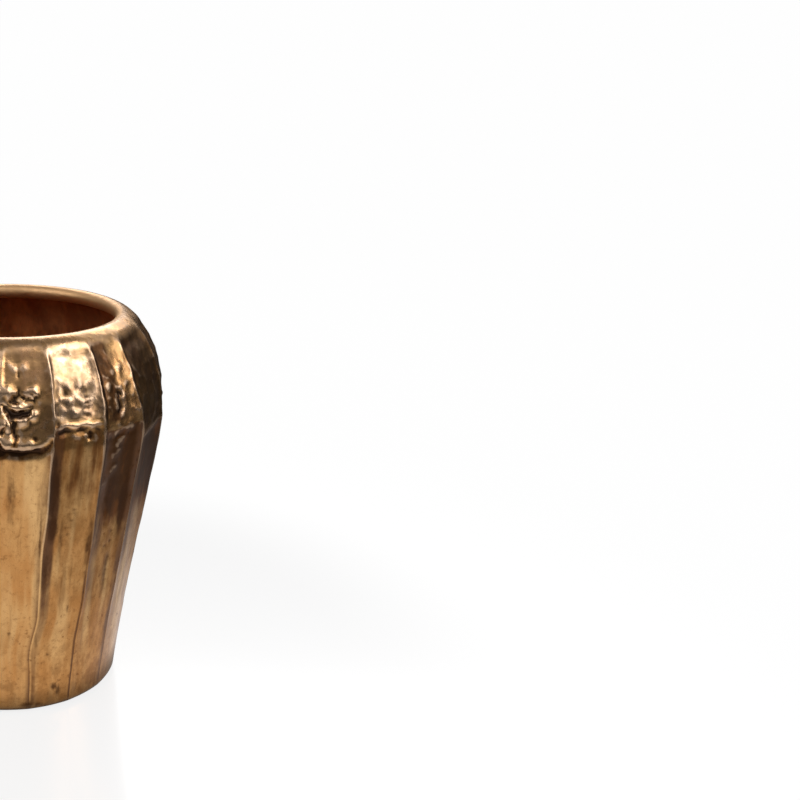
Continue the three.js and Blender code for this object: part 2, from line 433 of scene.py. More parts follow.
def keep_bands(skin):
    """Keeps where the oxide lies in each flute, with the painted shade, painted reflection and painted
    highlight, before the ridges are leant.
    """
    co = places(skin)
    height = co[:, 2]
    flute, across = flute_of(co)
    ledge = LEDGE_HEIGHTS[flute]
    foot = OXIDE_AND_SHADE_DOWN_TO[flute]
    under_ledge = 1 - smooth(height, ledge - 0.001, ledge + 0.003)
    # Brown oxide and painted shade below each ledge
    toned = smooth(height, foot - 0.035, foot + 0.025) * under_ledge
    keep(skin, "toned", LEDGE_OXIDE_AND_SHADE[flute] * toned)
    # Painted shade and painted reflection along the right of each ridge, painted shade along the left of
    # the next, and a painted shade line near the foot
    width = RIDGE_SHADE_WIDTH[flute] * (0.55 + 0.45 * smooth(height, 0.03, 0.1))
    beside_ridge = smooth(across, 0.0, 0.035) * (1 - smooth(across, 0.7 * width, 1.25 * width))
    beside_ridge *= 0.6 + 0.4 * smooth(height, 0.07, 0.16)
    left_flank_shade = LEFT_FLANK_SHADE[flute] * smooth(across, 0.74, 0.95)
    seam_shade = SEAM_SHADE[flute] * smooth(across, 0.93, 0.975) * (1 - smooth(height, 0.09, 0.16))
    below_ledge = 1 - smooth(height, ledge - 0.004, ledge + 0.012)
    beside_ridges = (RIDGE_SHADE[flute] * beside_ridge + left_flank_shade) * smooth(height, 0.001, 0.012)
    keep(skin, "band", (beside_ridges + seam_shade) * below_ledge)
    keep(skin, "grey", RIDGE_SHADE_GREY[flute])
    # Painted shade at the sides of the panels on the dome
    reach = PANEL_SHADE_REACH[flute]
    in_panel = smooth(height, ledge, ledge + 0.01) * (1 - smooth(height, 0.311, 0.317))
    from_left = PANEL_SHADE[flute] * (1 - smooth(across, reach * 0.6, reach * 1.2))
    to_right = 0.5 * smooth(across, 0.72, 0.92)
    keep(skin, "panel_brown", np.maximum(from_left, to_right) * in_panel)
    # Pale rubbing, partly a painted highlight
    keep(skin, "rubbed", PANEL_WEAR_AND_SHEEN[flute] * in_panel)
    keep(skin, "ruddy", RUDDY[flute])
    into_mouth = smooth(-radius_of(co), -MOUTH_RADIUS - 0.001, -MOUTH_RADIUS + 0.003)
    keep(skin, "lip", into_mouth * smooth(height, 0.3, 0.304))


# Drips, stains and pits, and last painted shade in the dents, creases and under the chins, as (degrees,
# height, reach along, reach across, strength)
STAINS_AND_SHADE = [
    (17.0, 0.205, 0.03, 0.007, 0.95),
    (17.6, 0.172, 0.015, 0.0055, 1.0),
    (15.6, 0.13, 0.03, 0.004, 0.6),
    (21.5, 0.162, 0.024, 0.003, 0.6),
    (16.6, 0.228, 0.014, 0.005, 0.7),
    (33.7, 0.15, 0.03, 0.004, 0.65),
    (2.0, 0.2, 0.045, 0.005, 0.5),
    (12.8, 0.165, 0.03, 0.0012, 0.7),
    (27.4, 0.12, 0.04, 0.002, 0.42),
    (19.5, 0.054, 0.0025, 0.0016, 0.75),
    (11.0, 0.0065, 0.004, 0.0065, 0.85),
    (16.0, 0.0055, 0.0035, 0.006, 0.8),
    (26.3, 0.0165, 0.006, 0.003, 0.9),
    (23.8, 0.0215, 0.004, 0.0036, 0.85),
    (1.5, 0.077, 0.003, 0.0022, 0.65),
    (27.2, 0.0945, 0.003, 0.0014, 0.75),
    (13.6, 0.069, 0.012, 0.003, 0.5),
    (43.0, 0.19, 0.03, 0.009, 0.7),
    (51.0, 0.178, 0.035, 0.005, 0.95),
    (46.5, 0.122, 0.03, 0.004, 0.55),
    (74.0, 0.196, 0.03, 0.012, 0.9),
    # From here on: painted shade in the dents and creases and under the chins, near black where stronger
    # than 0.95
    (30.1, 0.2475, 0.005, 0.0024, 1.2),
    (4.5, 0.2388, 0.0056, 0.014, 1.6),
    (-3.0, 0.239, 0.0052, 0.012, 1.6),
    (10.5, 0.2405, 0.0046, 0.007, 1.5),
    (7.0, 0.2825, 0.004, 0.005, 0.6),
    (4.2, 0.268, 0.0035, 0.009, 1.5),
    (2.6, 0.257, 0.006, 0.002, 0.8),
    (43.5, 0.268, 0.01, 0.002, 0.9),
    (29.0, 0.27, 0.012, 0.004, 0.55),
]

# The stain on each ladder mark, as reach along, reach across and strength, and how strong the painted
# contact shade along the foot is
LADDER_STAIN = (0.0024, 0.0042, 0.5)
FOOT_CONTACT_SHADE = 0.7


def usual_stains():
    """Drips and pits of the flutes that the photograph doesn't show."""
    stains = []
    for flute in range(3, 17):
        left = FIRST_RIDGE_DEGREES + FLUTE_DEGREES * flute
        for i in range(5):
            wobble = flute * 3.7 + i * 1.9
            at = left + FLUTE_DEGREES * (0.5 + 0.42 * math.sin(wobble))
            height = 0.12 + 0.1 * math.sin(2.3 * wobble)
            along = 0.012 + 0.009 * math.sin(5.1 * wobble)
            stains.append((at, height, 1.6 * along, 0.0036 + 0.0016 * math.sin(4.3 * wobble), 0.55))
    return stains


def keep_stains_and_shade(skin):
    """Keeps how stained each place is, with painted shade along the foot, in the dents and under the
    chins.
    """
    co = places(skin)
    degrees = degrees_of(co)
    radius = radius_of(co)
    # Painted contact shade along the foot
    stain = FOOT_CONTACT_SHADE * (1 - smooth(co[:, 2], 0.002, 0.0075))
    ladder_stains = [(*path[0], *LADDER_STAIN) for path in ladder_marks()]
    for at, height, along, across, strength in STAINS_AND_SHADE + usual_stains() + ladder_stains:
        away = (round_from(degrees, radius, at) / across) ** 2 + ((co[:, 2] - height) / along) ** 2
        stain = np.maximum(stain, strength * np.exp(-away))
    keep(skin, "stain", stain)


def press_and_hammer(skin):
    co = places(skin)
    depth = press_depth(co)
    deepest = np.abs(depth).max()
    weigh(skin, "pressed", np.clip(depth, 0, None) / deepest)
    weigh(skin, "pushed_out", np.clip(-depth, 0, None) / deepest)
    displace(skin, "press flutes", -deepest, "pressed")
    displace(skin, "push chins out", deepest, "pushed_out")

    height = co[:, 2]
    radius = radius_of(co)
    below_rim = 1 - smooth(height, 0.306, 0.313)
    on_wall = smooth(height, 0.004, 0.02) * smooth(radius, 0.098, 0.106) * below_rim
    on_dome = smooth(height, 0.236, 0.25) * smooth(radius, 0.1, 0.108) * below_rim
    low_wall = 0.25 * smooth(height, 0.006, 0.03) * (1 - smooth(height, 0.2, 0.25))
    weigh(skin, "dome", on_dome)
    weigh(skin, "wall", np.maximum(on_wall, low_wall))
    displace(skin, "waves", WAVE_DEPTH, "wall", SWELL, 0.62)
    displace(skin, "hammer the dome", DOME_MARK_DEPTH, "dome", HAMMER, 0.5)
    displace(skin, "hammer the wall", WALL_MARK_DEPTH, "wall", HAMMER, 0.5)


def nearest(co, spots):
    """The vertices nearest to places of (degrees, height) on the outside of the wall."""
    degrees = degrees_of(co)
    radius = radius_of(co)
    outside = (radius > MOUTH_RADIUS) | (co[:, 2] < WELL_BELOW_ROLL)
    found = set()
    for at, height in spots:
        away = np.hypot(round_from(degrees, radius, at), co[:, 2] - height)
        found.add(int(np.where(outside, away, 1).argmin()))
    return sorted(found)


def along_path(path, step=0.001):
    """Places along a path of (degrees, height), close enough together to leave no vertex out."""
    spots = []
    for (degrees_a, height_a), (degrees_b, height_b) in zip(path, path[1:]):
        run = math.hypot(math.radians(degrees_b - degrees_a) * BELLY_RADIUS, height_b - height_a)
        for t in np.linspace(0, 1, max(2, round(run / step))):
            spots.append((degrees_a + t * (degrees_b - degrees_a), height_a + t * (height_b - height_a)))
    return spots or [path[0]]


def take_hold(skin, spots):
    """Enters edit mode with the vertices nearest to the spots selected."""
    found = nearest(places(skin), spots)
    edit(skin, "DESELECT")
    mesh = bmesh.from_edit_mesh(skin.data)
    mesh.verts.ensure_lookup_table()
    for i in found:
        mesh.verts[i].select = True
    mesh.select_flush_mode()
    bmesh.update_edit_mesh(skin.data)


def dent(skin, paths, push, reach, falloff="SMOOTH"):
    """Hammers the sheet along short paths: a positive push goes outwards."""
    take_hold(skin, [spot for path in paths for spot in along_path(path)])
    bpy.ops.transform.shrink_fatten(
        value=push,
        use_proportional_edit=True,
        proportional_edit_falloff=falloff,
        proportional_size=reach,
    )
    leave_edit()


def lean(skin, ridges, low, high, degrees):
    """Leans stretches of ridges sideways, as they never run quite straight."""
    spots = []
    for ridge in ridges:
        at = FIRST_RIDGE_DEGREES + ridge * FLUTE_DEGREES
        spots += along_path([(at, low), (at, high)], 0.004)
    take_hold(skin, spots)
    bpy.ops.transform.rotate(
        value=-math.radians(degrees),
        orient_axis="Z",
        center_override=(0, 0, 0),
        use_proportional_edit=True,
        proportional_edit_falloff="SMOOTH",
        proportional_size=LEAN_REACH,
    )
    leave_edit()


def soften(skin, low, high, repeat):
    """Smooths a patch of the outside between two corners of (degrees, height)."""
    across = np.arange(low[0], high[0], 0.4)
    up = np.arange(low[1], high[1], 0.0012)
    take_hold(skin, [(at, height) for at in across for height in up])
    bpy.ops.mesh.vertices_smooth(factor=0.5, repeat=repeat)
    leave_edit()


# Leaning stretches as (ridges, lower end, upper end, degrees)
LEANS = [
    ([0], 0.006, 0.05, -3.2),
    ([0], 0.07, 0.15, -1.2),
    ([1, 8, 14], 0.006, 0.06, -1.2),
    ([3, 6, 10], 0.006, 0.06, 1.8),
    ([2], 0.286, 0.305, -3.6),
    ([17], 0.272, 0.312, 3.2),
    ([0, 5, 9, 13], 0.26, 0.3, 1.1),
    ([4, 11, 16], 0.25, 0.3, -1.6),
]


def dots(*spots):
    """Paths of one place each."""
    return [[spot] for spot in spots]


# Marks that the photograph shows, as paths of (degrees, height)
SAG = dots((4.5, 0.264))
CRUMPLE_WIDE = [[(0.8, 0.2715), (2.0, 0.269), (3.7, 0.268), (5.8, 0.2688), (7.6, 0.27)]]
CRUMPLE_DEEP = [
    [(1.6, 0.2775), (3.2, 0.281), (4.5, 0.2825)],
    [(5.4, 0.2815), (6.8, 0.279), (7.6, 0.2795)],
    [(2.0, 0.266), (2.5, 0.262), (2.8, 0.258), (3.2, 0.2525)],
    [(0.6, 0.2625), (-0.6, 0.258), (-0.8, 0.2545)],
]
CRUMPLE_FINE = [
    [(7.6, 0.27), (9.2, 0.2738)],
    [(4.5, 0.2825), (4.5, 0.2865)],
    [(3.0, 0.2775), (4.6, 0.2785), (5.4, 0.2765)],
    [(8.2, 0.2805), (9.4, 0.2785), (10.2, 0.2815), (9.2, 0.2845), (8.2, 0.2835)],
    [(0.0, 0.2745), (-1.4, 0.277)],
    [(9.6, 0.2775), (10.6, 0.2815)],
    [(4.2, 0.2945), (4.9, 0.298)],
]
CRUMPLE_SWELLS = dots(
    (0.4, 0.2615), (6.2, 0.2635), (5.0, 0.2745), (9.3, 0.2675), (9.0, 0.2835), (0.4, 0.285),
)
STAR_CRESTS = [
    [(1.8, 0.3025), (3.7, 0.3015)],
    [(6.0, 0.3025), (7.8, 0.3)],
    [(3.9, 0.2965)],
]
PANEL_LUMPS = dots(
    (22.6, 0.2885), (27.0, 0.286), (22.0, 0.2755), (25.3, 0.279), (24.5, 0.267), (18.9, 0.271),
    (42.2, 0.2905), (46.5, 0.2925), (39.0, 0.281), (47.4, 0.2815),
)
PANEL_HOLLOWS = dots(
    (22.4, 0.3015), (22.6, 0.3085), (24.2, 0.2735), (20.6, 0.2815),
    (44.5, 0.2985), (41.0, 0.301), (28.6, 0.2815),
)
EDGE_MARKS = [[(28.2, z), (29.4, z)] for z in (0.2775, 0.2732, 0.2688, 0.2645)]
LONG_DENT = [[(43.6, 0.275), (43.5, 0.268), (43.6, 0.261)]]
LONG_DENT_RIM = [[(42.3, 0.273), (42.1, 0.2655)]]
DARK_HOLE = [[(30.2, 0.2485), (30.0, 0.2465)]]
SLANTS = [
    [(42.6, 0.2335), (45.2, 0.239)],
    [(40.6, 0.224), (43.6, 0.2295)],
    [(41.2, 0.2135), (42.8, 0.216)],
    [(37.4, 0.2035), (38.4, 0.205)],
]
CHIN_BREAKS = [
    [(-2.6, 0.2475)],
    [(2.9, 0.2495), (3.1, 0.2455)],
    [(9.8, 0.2495)],
]
CHIN_SWELLS = [
    [(0.2, 0.2465), (0.9, 0.2475)],
    [(5.2, 0.2462), (7.4, 0.2475)],
]


def ladder_marks():
    """Rows of small marks that the edge of the hammer leaves, one above the other, in each flute."""
    marks = dots(
        (26.4, 0.1855), (24.2, 0.181), (25.6, 0.1755), (24.3, 0.17), (24.4, 0.164), (24.3, 0.157),
    )
    marks += [[(39.8 + 0.1 * (0.187 - z) * 1000, z)] for z in (0.187, 0.176, 0.165, 0.154, 0.143)]
    marks += [[(47.2, z)] for z in (0.155, 0.146, 0.132, 0.121, 0.111)]
    for flute in range(4, 17, 3):
        start = 0.14 + 0.06 * math.sin(2.3 * flute) ** 2
        at = FIRST_RIDGE_DEGREES + FLUTE_DEGREES * (flute + 0.5 + 0.25 * math.sin(5.1 * flute))
        for i in range(5):
            marks.append([(at + 1.1 * math.sin(3 * i), start - 0.008 * i + 0.0015 * math.sin(5 * i))])
    return marks


def usual_crumples():
    """Creases, lumps and hollows of the panels that the photograph doesn't show."""
    creases, lumps, hollows = [], [], []
    for flute in range(4, 17):
        middle = FIRST_RIDGE_DEGREES + FLUTE_DEGREES * (flute + 0.5)
        for i in range(5):
            wobble = flute * 7.3 + i * 2.9
            at = middle + 6 * math.sin(wobble)
            height = 0.284 + 0.016 * math.sin(1.7 * wobble)
            (lumps if i % 2 else hollows).append([(at, height)])
        if flute % 4 == 1:
            low = LEDGE_HEIGHTS[flute] + 0.016
            slope = 0.0035 * math.sin(flute)
            start = (middle - 4.2, low - slope)
            creases.append([start, (middle - 1.4, low + 0.4 * slope), (middle, low)])
            creases.append([(middle + 1.5, low + 0.006 + slope), (middle + 4.6, low + 0.0085)])
            lumps.append([(middle - 1.5, low + 0.0055)])
            lumps.append([(middle + 3.6, low + 0.002)])
    return creases, lumps, hollows


def mark(skin):
    """The marks of the hammer and the knocks that the pot has had, on the outside."""
    creases, lumps, hollows = usual_crumples()

    # Each as its paths, push outwards, reach and, where it isn't smooth, falloff
    dents = [
        (SAG, -0.0012, 0.02),
        (CRUMPLE_SWELLS, 0.003, 0.0075),
        (CRUMPLE_WIDE, -0.0029, 0.0043),
        (CRUMPLE_DEEP, -0.003, 0.0046, "SHARP"),
        (creases, -0.0022, 0.0062),
        (CRUMPLE_FINE, -0.0016, 0.0034, "SHARP"),
        (STAR_CRESTS, 0.0007, 0.003),
        (PANEL_LUMPS + lumps, 0.0008, 0.006),
        (PANEL_HOLLOWS + hollows, -0.0008, 0.0065),
        (EDGE_MARKS, -0.0006, 0.0024),
        (LONG_DENT, -0.0015, 0.004),
        (LONG_DENT_RIM, 0.0006, 0.003),
        (DARK_HOLE, -0.0022, 0.0036),
        (SLANTS, 0.0011, 0.0065),
        (CHIN_BREAKS, -0.0012, 0.005),
        (CHIN_SWELLS, 0.0008, 0.0055),
        (ladder_marks(), -0.0006, 0.004),
    ]
    for paths, *blow in dents:
        dent(skin, paths, *blow)
    soften(skin, low=(10.4, 0.239), high=(15.2, 0.257), repeat=3)


def behind_marks(skin):
    """The inside follows the ledges and the deep marks, well clear of them."""
    co = places(skin)
    ledge = LEDGE_HEIGHTS[flute_of(co)[0]]
    from_ledge = (co[:, 2] - ledge + BEHIND_LEDGE_DROP) / BEHIND_LEDGE_REACH
    weigh(skin, "behind_ledges", np.exp(-(from_ledge**2)))
    displace(skin, "clear the ledges", -BEHIND_LEDGE_DEPTH, "behind_ledges")
    creases = usual_crumples()[0]
    dent(skin, SAG, push=-0.0012, reach=0.02)
    dent(skin, CRUMPLE_WIDE + CRUMPLE_DEEP + creases, push=-0.0048, reach=0.013)
    dent(skin, CRUMPLE_FINE, push=-0.002, reach=0.009)
    dent(skin, LONG_DENT + DARK_HOLE, push=-0.0024, reach=0.01)


def keep_hollows(skin):
    """Keeps how hollow or proud each place is, so that the finish can lay oxide and painted shade in the
    hollows and pale wear with a painted highlight on the crests.
    """
    co = places(skin)
    mesh = skin.data
    ends = rows_of(mesh.edges, "vertices", 2, int)
    normals = rows_of(mesh.vertex_normals, "vector")
    degree = np.bincount(ends.ravel(), minlength=len(co))
    length = np.linalg.norm(co[ends[:, 0]] - co[ends[:, 1]], axis=1)

    def round_mean(values):
        """Each vertex's mean of its neighbours' values."""
        total = np.zeros_like(values)
        np.add.at(total, ends[:, 0], values[ends[:, 1]])
        np.add.at(total, ends[:, 1], values[ends[:, 0]])
        return total / (degree[:, None] if values.ndim == 2 else degree)

    spread = np.zeros(len(co))
    np.add.at(spread, ends[:, 0], length**2)
    np.add.at(spread, ends[:, 1], length**2)
    bend = ((round_mean(co) - co) * normals).sum(1) / (spread / degree)
    for _ in range(2):
        bend = 0.5 * bend + 0.5 * round_mean(bend)
    for name, sign in (("hollow", 1), ("proud", -1)):
        keep(skin, name, np.clip(sign * bend / SHARPEST_BEND, 0, 1))


def make_skin(name, line, columns):
    skin = draw_section(name, line, FIRST_RIDGE_DEGREES + 4 * FLUTE_DEGREES)
    turn_round(skin, columns)
    lay_out(skin, line)
    keep_bands(skin)
    press_and_hammer(skin)
    for ridges, low, high, degrees in LEANS:
        lean(skin, ridges, low, high, degrees)
    return skin


def bridge(obj, low, high):
    """Bridges the open edge loops whose vertices lie between two heights."""
    edit(obj, "DESELECT", by="EDGE")
    bpy.ops.mesh.select_non_manifold(
        extend=False, use_wire=False, use_boundary=True, use_multi_face=False,
        use_non_contiguous=False, use_verts=False,
    )
    mesh = bmesh.from_edit_mesh(obj.data)
    for edge in mesh.edges:
        if edge.select and not all(low < v.co.z < high for v in edge.verts):
            edge.select = False
    mesh.select_flush(False)
    bmesh.update_edit_mesh(obj.data)
    bpy.ops.mesh.bridge_edge_loops()
    leave_edit()


def raise_layout(skin):
    """Moves the inside's UV map up by one, which tells it from the outside's."""
    uv = skin.data.uv_layers["sheet"].data
    flat = rows_of(uv, "uv", 2)
    flat[:, 1] += 1
    uv.foreach_set("uv", flat.ravel())


def make_wall():
    line = wall_line()
    outer = make_skin("hammered_wall", spaced_along(line, OUTER_ROWS, OUTER_CLOSER), OUTER_COLUMNS)
    mark(outer)
    keep_hollows(outer)
    keep_stains_and_shade(outer)
    inner_line = set_in(spaced_along(line, INNER_ROWS, INNER_CLOSER), SHEET)
    inner = make_skin("wall_inside", inner_line, INNER_COLUMNS)
    behind_marks(inner)
    raise_layout(inner)
    edit(inner)
    bpy.ops.mesh.flip_normals()
    leave_edit()
    make_active(outer)
    inner.select_set(True)
    bpy.ops.object.join()
    bridge(outer, *FOOT_EDGES)
    bridge(outer, *RIM_EDGES)
    outer.vertex_groups.clear()
    make_active(outer)
    bpy.ops.object.shade_smooth()
    return outer


# Helpers for materials
def is_socket(value):
    return isinstance(value, bpy.types.NodeSocket)


def feed(socket, value):
    if is_socket(value):
        socket.id_data.links.new(value, socket)
    elif value is not None:
        socket.default_value = value


def put(kind, inputs, output=0, tree=None, **settings):
    """Adds a shader node, in a given tree or that of its inputs, feeds it, and gives one output."""
    tree = tree or next(value.id_data for value in inputs.values() if is_socket(value))
    node = tree.nodes.new("ShaderNode" + kind)
    for name, value in settings.items():
        setattr(node, name, value)
    for name, value in inputs.items():
        feed(node.inputs[name], value)
    return node.outputs[output]


def calc(operation, first, second=None, third=None):
    return put("Math", {0: first, 1: second, 2: third}, operation=operation)


def scaled(value, factor, plus):
    return calc("MULTIPLY_ADD", value, factor, plus)


def rest_of(share):
    return calc("SUBTRACT", 1.0, share)


def times(*values):
    return reduce(lambda so_far, value: calc("MULTIPLY", so_far, value), values)


def strongest(*values):
    return reduce(lambda so_far, value: calc("MAXIMUM", so_far, value), values)


def ramp(value, start, end, low=0.0, high=1.0):
    """A smooth step from low to high as the value goes from start to end."""
    inputs = {"Value": value, "From Min": start, "From Max": end, "To Min": low, "To Max": high}
    return put("MapRange", inputs, interpolation_type="SMOOTHSTEP")


def mix_colour(share, first, second):
    return put("Mix", {0: share, 6: first, 7: second}, 2, data_type="RGBA")


def lay_coats(colour, coats):
    """Lays coats of (share, paint) over a colour, one after another."""
    for share, paint in coats:
        colour = mix_colour(share, colour, paint)
    return colour


def noise(vector, scale, detail=3.0, roughness=0.5):
    inputs = {"Vector": vector, "Scale": scale, "Detail": detail, "Roughness": roughness}
    return put("TexNoise", inputs)


def new_group(name, numbers, result):
    """A node group that takes a place and named numbers and puts out one number."""
    tree = bpy.data.node_groups.new(name, "ShaderNodeTree")
    tree.interface.new_socket("Vector", in_out="INPUT", socket_type="NodeSocketVector")
    for number in numbers:
        tree.interface.new_socket(number, in_out="INPUT", socket_type="NodeSocketFloat")
    tree.interface.new_socket(result, in_out="OUTPUT", socket_type="NodeSocketFloat")
    return tree, tree.nodes.new("NodeGroupInput").outputs, tree.nodes.new("NodeGroupOutput").inputs[0]


def use(group, **inputs):
    return put("Group", inputs, node_tree=group)


def new_material(name):
    material = bpy.data.materials.new(name)
    material.use_nodes = True
    tree = material.node_tree
    tree.nodes.clear()
    return material, tree, tree.nodes.new("ShaderNodeOutputMaterial")


def object_place(tree):
    return put("TexCoord", {}, "Object", tree)


def bump(height, strength, distance):
    return put("Bump", {"Height": height, "Strength": strength, "Distance": distance})


def surface(output, colour, roughness, normal, metallic=1.0, coat=0.0):
    inputs = {
        "Base Color": colour,
        "Roughness": roughness,
        "Normal": normal,
        "Metallic": metallic,
        "Coat Weight": coat,
        "Coat Roughness": COAT_ROUGHNESS,
    }
    feed(output.inputs["Surface"], put("BsdfPrincipled", inputs))


# Effects that several finishes share
def hammering_group():
    """Small round dents, as a height."""
    group, given, made = new_group("hammering", ["Size", "Uneven"], "Height")
    scale = calc("DIVIDE", 1.0, given["Size"])
    wander = put("TexNoise", {"Vector": given["Vector"], "Scale": 180.0}, "Color")
    shift = put("VectorMath", {0: wander, "Scale": 0.0016}, operation="SCALE")
    bent = put("VectorMath", {0: given["Vector"], 1: shift}, operation="ADD")
    dents = put("TexVoronoi", {"Vector": bent, "Scale": scale}, "Distance")
    uneven = noise(given["Vector"], 70.0)
    depth = rest_of(times(uneven, given["Uneven"]))
    feed(made, times(dents, dents, depth))
    return group


def tarnish_group():
    """Brown oxide in clouds and specks, as a mask."""
    group, given, made = new_group("tarnish", ["Amount", "Size"], "Mask")
    scale = calc("DIVIDE", 1.0, given["Size"])
    clouds = noise(given["Vector"], scale, 6.0, 0.62)
    low = calc("SUBTRACT", 0.78, times(given["Amount"], 0.5))
    high = calc("ADD", low, 0.16)
    feed(made, ramp(clouds, low, high))
    return group


def rubbing_group():
    """Fine marks of rubbing, as a height."""
    group, given, made = new_group("rubbing", ["Length"], "Height")
    shorter = calc("DIVIDE", 1.0, given["Length"])
    stretch = put("CombineXYZ", {0: 1.0, 1: 1.0, 2: shorter})
    drawn = put("VectorMath", {0: given["Vector"], 1: stretch}, operation="MULTIPLY")
    feed(made, noise(drawn, 1400.0, 2.0))
    return group


HAMMERING = hammering_group()
TARNISH = tarnish_group()
RUBBING = rubbing_group()

GOLD = (0.62, 0.335, 0.125, 1)
RED_GOLD = (0.50, 0.225, 0.07, 1)
# Pale rubbed brass, also the colour of painted highlights
RUBBED_AND_SHEEN = (0.72, 0.49, 0.32, 1)
BROWN = (0.15, 0.058, 0.017, 1)
DARK_BROWN = (0.07, 0.026, 0.009, 1)
OLIVE = (0.26, 0.15, 0.058, 1)
RUST = (0.25, 0.10, 0.028, 1)
RED_BROWN = (0.19, 0.058, 0.01, 1)
# Colours of the painted shade and painted reflection along the ridges
RIDGE_SHADE_BROWN = (0.13, 0.052, 0.02, 1)
MAUVE_REFLECTION = (0.195, 0.105, 0.066, 1)
LIP_GOLD = (0.70, 0.41, 0.18, 1)
# Near black, for painted shade in the deepest creases, the dents and under the chins
SHADE_BLACK = (0.03, 0.014, 0.008, 1)
INSIDE_BROWN = (0.42, 0.175, 0.075, 1)
INSIDE_GOLD = (0.95, 0.50, 0.21, 1)
# Pale gold for painted highlight stripes
PALE_GOLD_HIGHLIGHT = (0.74, 0.46, 0.20, 1)
ORANGE_BROWN = (0.36, 0.16, 0.048, 1)
WIRE_GREY = (0.4, 0.39, 0.37, 1)
WIRE_BROWN = (0.2, 0.12, 0.08, 1)
FELT_DARK = (0.03, 0.025, 0.02, 1)
FELT_LIGHT = (0.09, 0.075, 0.06, 1)
COAT_ROUGHNESS = 0.12

# The attributes that keep_bands, keep_hollows and keep_stains_and_shade give the wall
KEPT = ("hollow", "proud", "toned", "band", "grey", "stain", "panel_brown", "rubbed", "ruddy", "lip")


def streaks(here, across_cells, along_cells, detail, roughness):
    """Noise drawn out down the sheet, given its cells per flute and per metre."""
    angle = times(here.turn, 2 * math.pi / FLUTES)
    reach = across_cells * FLUTES / (2 * math.pi)
    x = times(calc("COSINE", angle), reach)
    y = times(calc("SINE", angle), reach)
    drawn = put("CombineXYZ", {0: x, 1: y, 2: times(here.run, along_cells)})
    return noise(drawn, 1.0, detail, roughness)


def read_wall(tree):
    """What the wall's finish goes by at each place, as one set of named sockets."""
    here = SimpleNamespace(place=object_place(tree))
    here.height = put("SeparateXYZ", {0: here.place}, 2)
    sheet = put("UVMap", {}, 0, tree, uv_map="sheet")
    here.turn, along = put("SeparateXYZ", {0: sheet}).node.outputs[:2]
    here.run = calc("FRACT", along)
    here.inside = ramp(along, 0.6, 0.7)
    here.on_dome = ramp(here.height, 0.245, 0.258)
    here.off_dome = rest_of(here.on_dome)
    for name in KEPT:
        setattr(here, name, put("Attribute", {}, "Fac", tree, attribute_name=name))
    here.cloud = noise(here.place, 42.0, 6.0, 0.62)
    here.grit = noise(here.place, 330.0, 3.0, 0.6)
    here.streak = streaks(here, 4.5, 15.0, 4.0, 0.6)
    here.fine_streak = streaks(here, 15.0, 120.0, 4.0, 0.6)
    here.char = streaks(here, 5.0, 48.0, 6.0, 0.65)
    return here


def ridge_shading_mask(here):
    """Painted shade and painted reflection along both sides of each ridge, in streaks and clouds."""
    uneven = scaled(here.streak, 1.1, scaled(here.cloud, 0.9, -0.05))
    return ramp(times(here.band, uneven), 0.3, 1.15, 0.0, 0.95)


def stain_and_shade_mask(here):
    """Drips, stains and pits, and painted shade along the foot, in the dents and under the chins, with
    ragged edges.
    """
    uneven = scaled(here.fine_streak, 1.2, scaled(here.cloud, 0.9, 0.05))
    return ramp(times(here.stain, uneven), 0.22, 0.85, 0.0, 0.85)


def panel_shading_mask(here):
    """Painted shade: dark brown at the sides of the panels."""
    uneven = scaled(here.cloud, 1.5, 0.15)
    return ramp(times(here.panel_brown, uneven), 0.25, 0.8, 0.0, 0.92)


def brown_mask(here):
    """The other oxide: below the ledges, mixed with painted shade there, in lines and specks, in clouds
    on the dome and in hollows.
    """
    off_middle = calc("SUBTRACT", here.streak, 0.5)
    off_cloud = calc("SUBTRACT", here.cloud, 0.5)
    # Oxide and painted shade below the ledges
    ragged = scaled(off_cloud, 0.9, scaled(off_middle, 2.4, here.toned))
    below = ramp(ragged, 0.25, 1.05, 0.0, 0.95)
    lines = times(ramp(here.streak, 0.5, 0.72), here.off_dome, 0.6)
    lines = times(lines, ramp(here.height, 0.04, 0.12, 0.35, 1.0))
    fewer_up = ramp(here.height, 0.03, 0.14, 0.9, 0.5)
    specks = times(use(TARNISH, Vector=here.place, Amount=0.4, Size=0.006), fewer_up, here.off_dome)
    near_foot = ramp(here.height, 0.02, 0.12, 0.45, 0.0)
    worn = times(use(TARNISH, Vector=here.place, Amount=0.62, Size=0.016), near_foot)
    mottle = times(use(TARNISH, Vector=here.place, Amount=0.72, Size=0.011), here.on_dome, 0.55)
    in_hollows = ramp(here.hollow, 0.08, 0.6, 0.0, 0.75)
    return strongest(below, lines, specks, worn, mottle, in_hollows)


